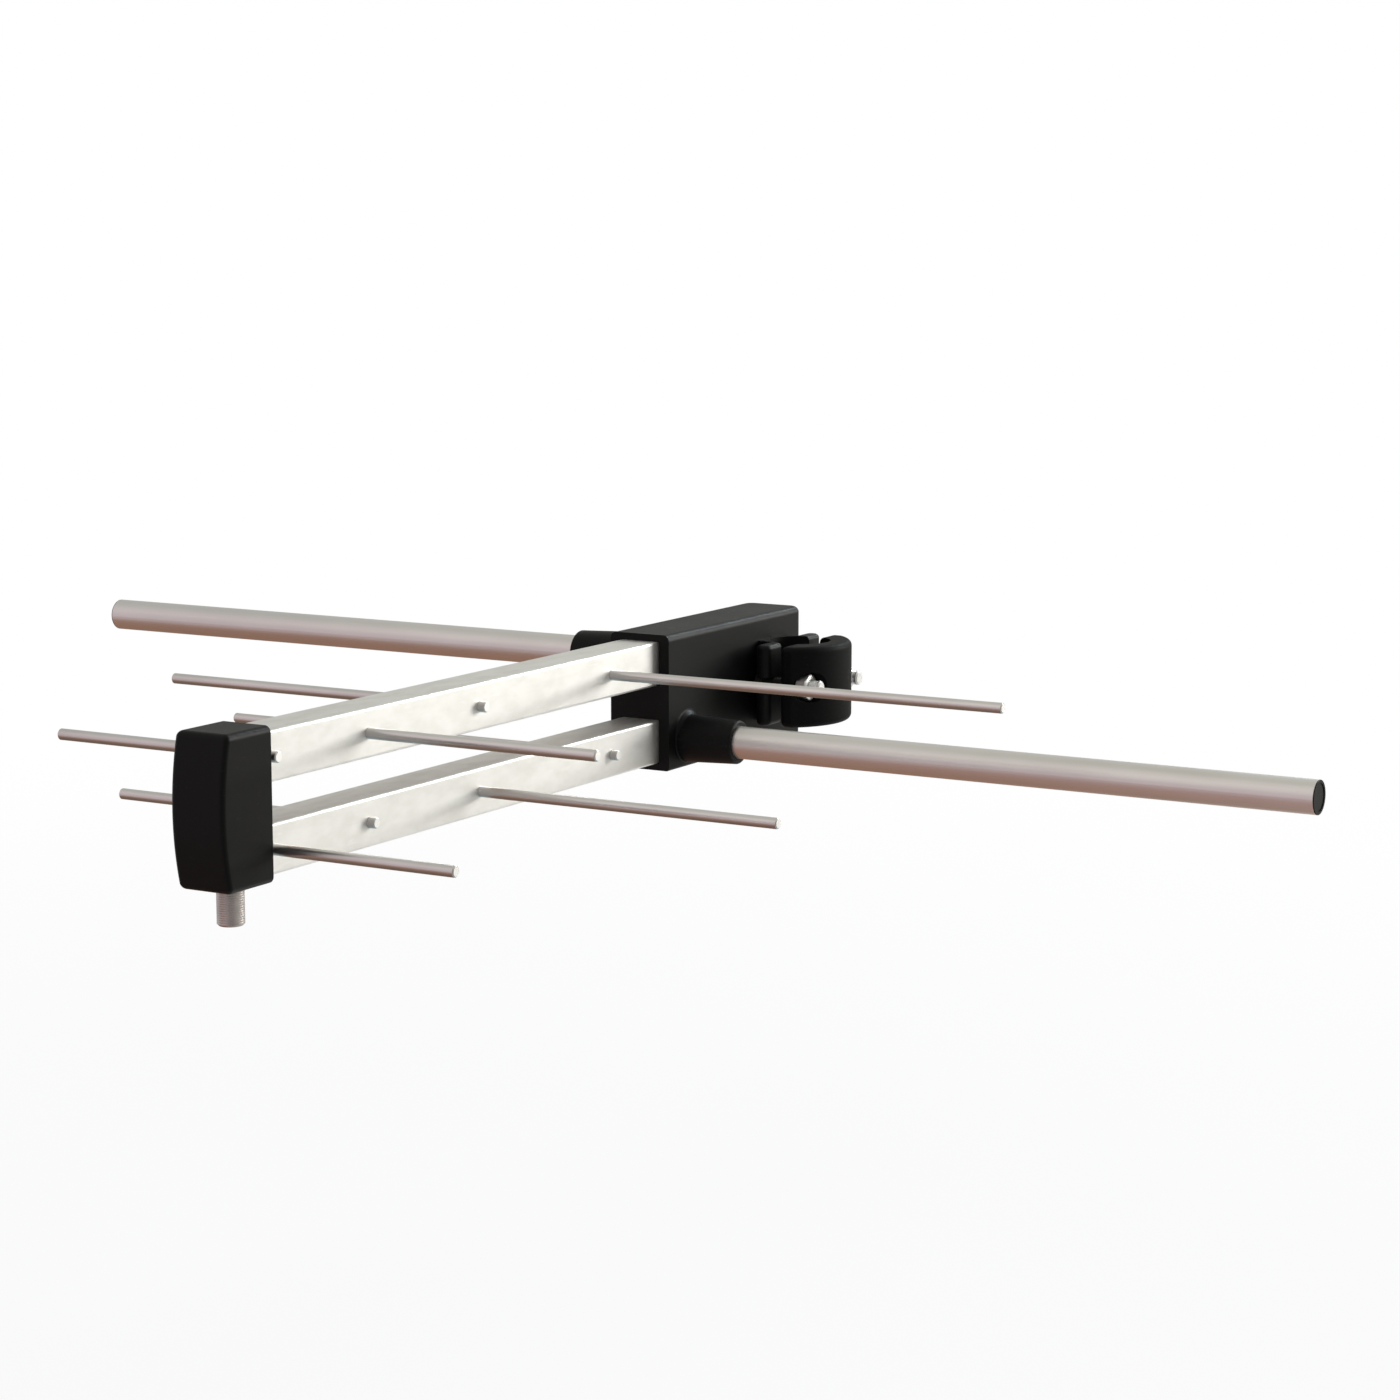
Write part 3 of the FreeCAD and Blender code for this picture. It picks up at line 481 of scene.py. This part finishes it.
def makeWorld(s):
    # Rays that shiny faces send out see a bright right side, a grey left side with a pale screen far off,
    # a ceiling that is paler in front, a dark front right corner, a dim brown ground on the left and a
    # white floor behind; the camera sees white.
    world = bpy.data.worlds.new("studio")
    scene.world = world
    world.use_nodes = True
    tree = world.node_tree
    start = Wire(tree)
    way = start.node("ShaderNodeTexCoord", out="Generated")
    x = start.node("ShaderNodeSeparateXYZ", {}, {0: way}, out="X")
    y = start.node("ShaderNodeSeparateXYZ", {}, {0: way}, out="Y")
    z = start.node("ShaderNodeSeparateXYZ", {}, {0: way}, out="Z")
    around = blended(ramped(y, *s["rightSide"]), s["left"], s["right"])
    around = blended(ramped(x, *s["frontEnd"]) * s["frontShare"], around, s["front"])
    over = blended(ramped(x, *s["highEnd"]), s["highBack"], s["highFront"])
    around = blended(ramped(z, *s["highUp"]) * ramped(y, *s["highSide"]), around, over)
    around = blended(ramped(x, *s["darkEnd"]) * ramped(y, *s["darkSide"]), around, s["dark"])
    down = ramped(-1.0 * z, *s["lowDown"])
    rightward = ramped(y, *s["lowSide"])
    brown = blended(ramped(y, *s["lowTurn"]), s["lowLeft"], s["lowRight"])
    around = blended(down * (1.0 - rightward), around, brown)
    around = blended(down * ramped(-1.0 * x, *s["behindEnd"]) * rightward, around, s["floorGlow"])
    around = blended(ramped(-1.0 * y, *s["farSide"]), around, s["farLeft"])
    shiny = start.node("ShaderNodeLightPath", out="Is Glossy Ray")
    seen = start.node("ShaderNodeLightPath", out="Is Camera Ray")
    clear = start.node("ShaderNodeLightPath", out="Is Transmission Ray")
    light = blended(shiny, s["fill"], around)
    light = blended(seen + clear, light, (1.0, 1.0, 1.0))
    tree.links.new(light.socket, tree.nodes["Background"].inputs["Color"])


def makeLamps(s, aim):
    centre = Vector(aim)
    for name, (way, distance, width, height, power, colour, mirrored) in s.items():
        light = bpy.data.lights.new(name, "AREA")
        light.shape, light.size, light.size_y = "RECTANGLE", width, height
        light.energy, light.color = power, colour
        lamp = bpy.data.objects.new(name, light)
        lamp.location = centre + Vector(way).normalized() * distance
        lamp.rotation_euler = Vector(way).to_track_quat("Z", "Y").to_euler()
        lamp.visible_camera, lamp.visible_glossy = False, mirrored
        scene.collection.objects.link(lamp)


makeFloor(studio)
makeWorld(studio)
makeLamps(lamps, studio["lampAim"])
print("studio ready")


# Camera at the photograph's place

cameraSizes = {"place": (1.19045, 0.64055, 0.19948), "look": (-0.855450, -0.495028, -0.152160),
               "focal": 84.28, "sensor": 36.0, "near": 0.05, "far": 50.0}
lens = bpy.data.cameras.new("camera")
lens.lens, lens.sensor_width = cameraSizes["focal"], cameraSizes["sensor"]
lens.clip_start, lens.clip_end = cameraSizes["near"], cameraSizes["far"]
camera = bpy.data.objects.new("camera", lens)
camera.location = cameraSizes["place"]
camera.rotation_euler = Vector(cameraSizes["look"]).to_track_quat("-Z", "Y").to_euler()
scene.collection.objects.link(camera)
scene.camera = camera

print("pieces done")
